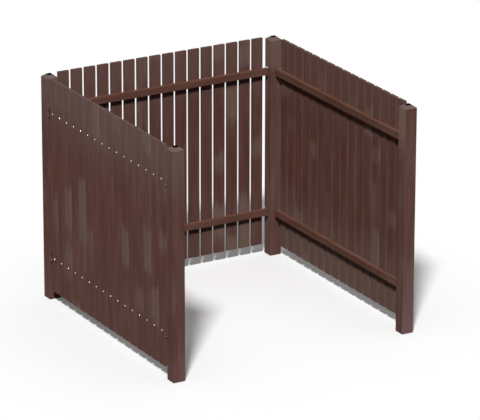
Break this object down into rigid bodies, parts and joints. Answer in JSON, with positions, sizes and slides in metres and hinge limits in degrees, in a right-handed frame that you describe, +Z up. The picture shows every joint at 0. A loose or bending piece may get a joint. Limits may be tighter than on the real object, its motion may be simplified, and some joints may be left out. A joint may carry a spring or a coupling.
{
  "type": "wheelie bin store",
  "caption": "U-shaped palisade screen of brown recycled plastic: square posts with pyramid heads, level rails, upright slats with gaps between them, and an open front.",
  "frame": {"origin": "on the ground under the middle of the store", "axes": "+X along the open front, to the right as seen from the front; +Y from the open front to the back panel; +Z up"},
  "size_m": [2, 2, 1.75],
  "materials": {
    "post_plastic": "matt extruded recycled plastic, brown, black on the flat of the head",
    "slat_plastic": "matt extruded recycled plastic, brown with lengthwise streaks",
    "rail_plastic": "matt extruded recycled plastic, brown",
    "shoe_steel": "folded stainless sheet",
    "screw_steel": "stainless screws"
  },
  "bodies": {
    "root": {"back_left_post": "post_plastic", "back_lower_rail": "rail_plastic", "back_right_post": "post_plastic", "back_slat_01": "slat_plastic", "back_slat_02": "slat_plastic", "back_slat_03": "slat_plastic", "back_slat_04": "slat_plastic", "back_slat_05": "slat_plastic", "back_slat_06": "slat_plastic", "back_slat_07": "slat_plastic", "back_slat_08": "slat_plastic", "back_slat_09": "slat_plastic", "back_slat_10": "slat_plastic", "back_slat_11": "slat_plastic", "back_slat_12": "slat_plastic", "back_slat_13": "slat_plastic", "back_slat_14": "slat_plastic", "back_slat_15": "slat_plastic", "back_slat_16": "slat_plastic", "back_upper_rail": "rail_plastic", "front_left_post": "post_plastic", "front_right_post": "post_plastic", "left_lower_rail": "rail_plastic", "left_slat_01": "slat_plastic", "left_slat_02": "slat_plastic", "left_slat_03": "slat_plastic", "left_slat_04": "slat_plastic", "left_slat_05": "slat_plastic", "left_slat_06": "slat_plastic", "left_slat_07": "slat_plastic", "left_slat_08": "slat_plastic", "left_slat_09": "slat_plastic", "left_slat_10": "slat_plastic", "left_slat_11": "slat_plastic", "left_slat_12": "slat_plastic", "left_slat_13": "slat_plastic", "left_slat_14": "slat_plastic", "left_slat_15": "slat_plastic", "left_slat_16": "slat_plastic", "left_upper_rail": "rail_plastic", "panel_screws": "screw_steel", "rail_shoes": "shoe_steel", "right_lower_rail": "rail_plastic", "right_slat_01": "slat_plastic", "right_slat_02": "slat_plastic", "right_slat_03": "slat_plastic", "right_slat_04": "slat_plastic", "right_slat_05": "slat_plastic", "right_slat_06": "slat_plastic", "right_slat_07": "slat_plastic", "right_slat_08": "slat_plastic", "right_slat_09": "slat_plastic", "right_slat_10": "slat_plastic", "right_slat_11": "slat_plastic", "right_slat_12": "slat_plastic", "right_slat_13": "slat_plastic", "right_slat_14": "slat_plastic", "right_slat_15": "slat_plastic", "right_slat_16": "slat_plastic", "right_upper_rail": "rail_plastic"}
  },
  "joints": []
}
